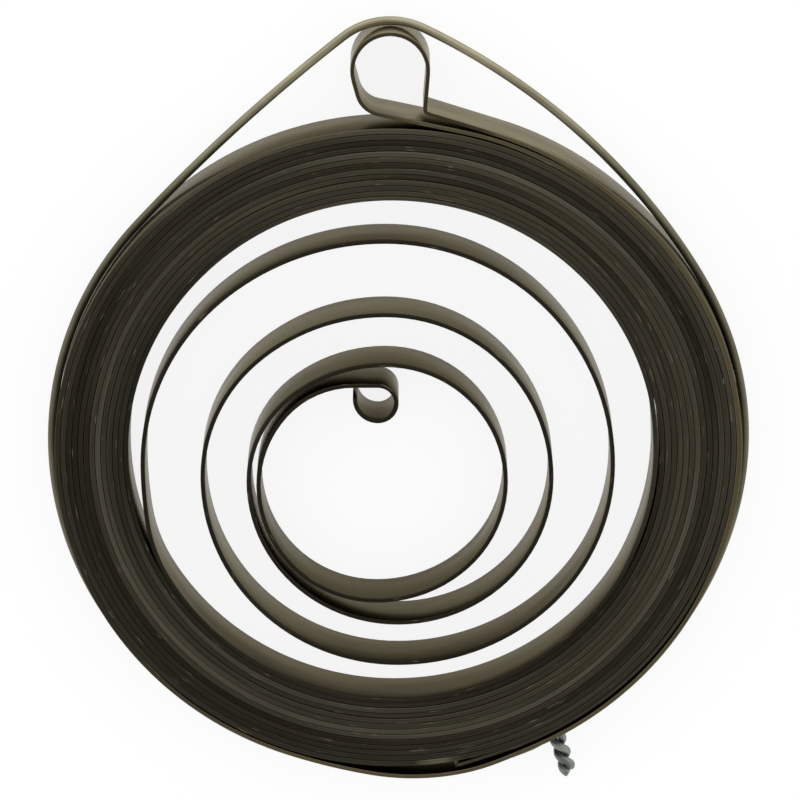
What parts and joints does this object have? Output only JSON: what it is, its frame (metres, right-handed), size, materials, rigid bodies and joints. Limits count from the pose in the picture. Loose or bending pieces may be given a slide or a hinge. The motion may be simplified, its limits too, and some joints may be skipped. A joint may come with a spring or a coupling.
{
  "type": "recoil starter spring",
  "caption": "Flat spiral spring strip wound into a ring, with an inner hook and an outer eye, tied by a twisted retaining wire.",
  "frame": {"origin": "on the winding axis, in the plane of the strip's lower edges, on which the spring lies", "axes": "+Z along the winding axis, up; +Y from the axis towards the outer eye; +X to the right seen from above"},
  "size_m": [0.0896, 0.1021, 0.008],
  "materials": {
    "spring_steel": "oiled, dark grey-brown",
    "soft_wire": "dull"
  },
  "bodies": {
    "root": {"spiral_spring": "spring_steel", "retaining_wire": "soft_wire"}
  },
  "joints": []
}
